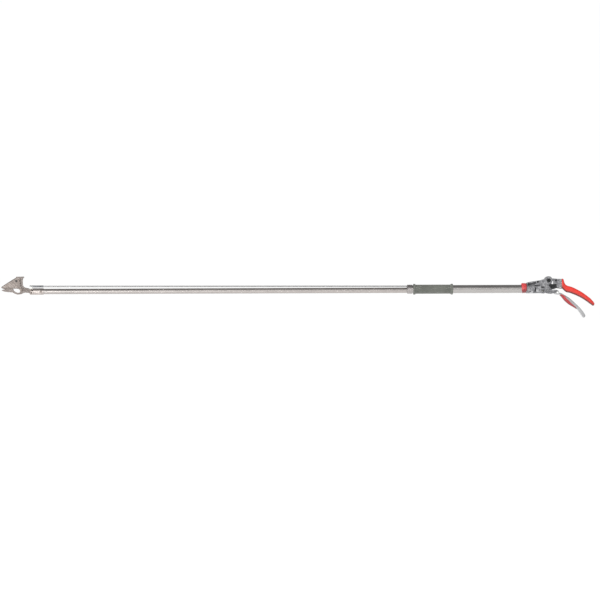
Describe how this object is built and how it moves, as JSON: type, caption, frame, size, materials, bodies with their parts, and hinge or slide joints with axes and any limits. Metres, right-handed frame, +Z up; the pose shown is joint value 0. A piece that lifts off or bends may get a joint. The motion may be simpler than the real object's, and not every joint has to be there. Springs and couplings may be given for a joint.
{
  "type": "long-reach pole pruner",
  "caption": "Long-reach pruner with a pivoting blade on a thin sliding pole, an outside pull rod, a rubber fore grip and a die-cast trigger handle with a lock.",
  "frame": {"origin": "middle of the rubber fore grip, on the handle tube's axis, where the front hand holds the tool", "axes": "+X along the tube to the hand end, +Z up to the upper handle, -Y the side that shows the blade"},
  "size_m": [1.7987, 0.0349, 0.1311],
  "materials": {
    "tool_steel": "ground steel, satin",
    "plated_steel": "zinc plated",
    "bright_steel": "nickel plated, bright",
    "pole_aluminium": "drawn and clear anodised",
    "die_casting": "die cast, tumbled grey",
    "black_steel": "black oxide",
    "red_vinyl": "dipped soft vinyl, semi gloss",
    "grip_rubber": "matt, ribbed",
    "black_plastic": "moulded"
  },
  "bodies": {
    "handle": {"handle_tube": "pole_aluminium", "tube_guide_bush": "black_plastic", "tube_end_collar": "pole_aluminium", "pole_lock_screw": "black_steel", "mid_grip": "grip_rubber", "red_tube_collar": "red_vinyl", "body_shell_near": "die_casting", "body_shell_far": "die_casting", "shell_screw_front": "black_steel", "shell_screw_top": "black_steel", "arm_screw": "black_steel", "trigger_pivot_bolt": "black_steel", "trigger_pivot_nut": "plated_steel", "upper_handle_arm": "die_casting", "upper_grip_sleeve": "red_vinyl", "return_spring": "plated_steel"},
    "pole": {"main_pole": "pole_aluminium", "pole_end_plug": "black_plastic", "head_socket": "pole_aluminium", "socket_rivet_front": "plated_steel", "socket_rivet_rear": "plated_steel", "counter_blade": "tool_steel", "blade_pivot_bolt": "plated_steel", "blade_pivot_nut": "plated_steel"},
    "blade": {"cutting_blade": "tool_steel", "blade_set_screw": "black_steel", "blade_tail_pin": "plated_steel"},
    "rod": {"pull_rod": "bright_steel", "rod_end": "plated_steel", "rod_end_pin": "plated_steel"},
    "blade_link": {"blade_link": "tool_steel"},
    "trigger": {"trigger_yoke": "die_casting", "trigger_lever": "bright_steel", "trigger_liner": "red_vinyl", "lever_rivet": "bright_steel", "yoke_pin": "plated_steel"},
    "carriage": {"draw_carriage": "die_casting", "draw_tube": "plated_steel", "carriage_pin": "plated_steel"},
    "trigger_link": {"trigger_link": "plated_steel"},
    "latch": {"lock_latch": "black_steel", "latch_shaft": "black_steel", "latch_catch": "plated_steel"}
  },
  "joints": [
    {"name": "pole_extend", "type": "slide", "parent": "handle", "child": "pole", "axis": [-1, 0, 0], "range_m": [0, 0.25]},
    {"name": "trigger_swing", "type": "hinge", "parent": "handle", "child": "trigger", "pos_m": [0.3498, 0, 0.0253], "axis": [0, 1, 0], "range_deg": [0, 24]},
    {"name": "latch_turn", "type": "hinge", "parent": "handle", "child": "latch", "pos_m": [0.3607, 0, 0.0055], "axis": [0, 1, 0], "range_deg": [-30, 0]},
    {"name": "carriage_slide", "type": "slide", "parent": "handle", "child": "carriage", "axis": [-1, 0, 0], "range_m": [0, 0.0125]},
    {"name": "trigger_link_swing", "type": "hinge", "parent": "carriage", "child": "trigger_link", "pos_m": [0.315, 0, -0.005], "axis": [0, 1, 0], "range_deg": [-8, 1]},
    {"name": "rod_slide", "type": "slide", "parent": "pole", "child": "rod", "axis": [-1, 0, 0], "range_m": [0, 0.0125]},
    {"name": "blade_link_swing", "type": "hinge", "parent": "rod", "child": "blade_link", "pos_m": [-1.2188, 0, 0.0013], "axis": [0, 1, 0], "range_deg": [-4, 1]},
    {"name": "blade_swing", "type": "hinge", "parent": "pole", "child": "blade", "pos_m": [-1.2565, 0, 0.0298], "axis": [0, 1, 0], "range_deg": [0, 26]}
  ],
  "couplings": [
    {"joint": "carriage_slide", "follows": "trigger_swing", "m_per_rad": 0.0289},
    {"joint": "trigger_link_swing", "follows": "trigger_swing", "ratio": -0.288},
    {"joint": "rod_slide", "follows": "trigger_swing", "m_per_rad": 0.0289},
    {"joint": "blade_link_swing", "follows": "trigger_swing", "ratio": -0.1106},
    {"joint": "blade_swing", "follows": "trigger_swing", "ratio": 1.025}
  ]
}
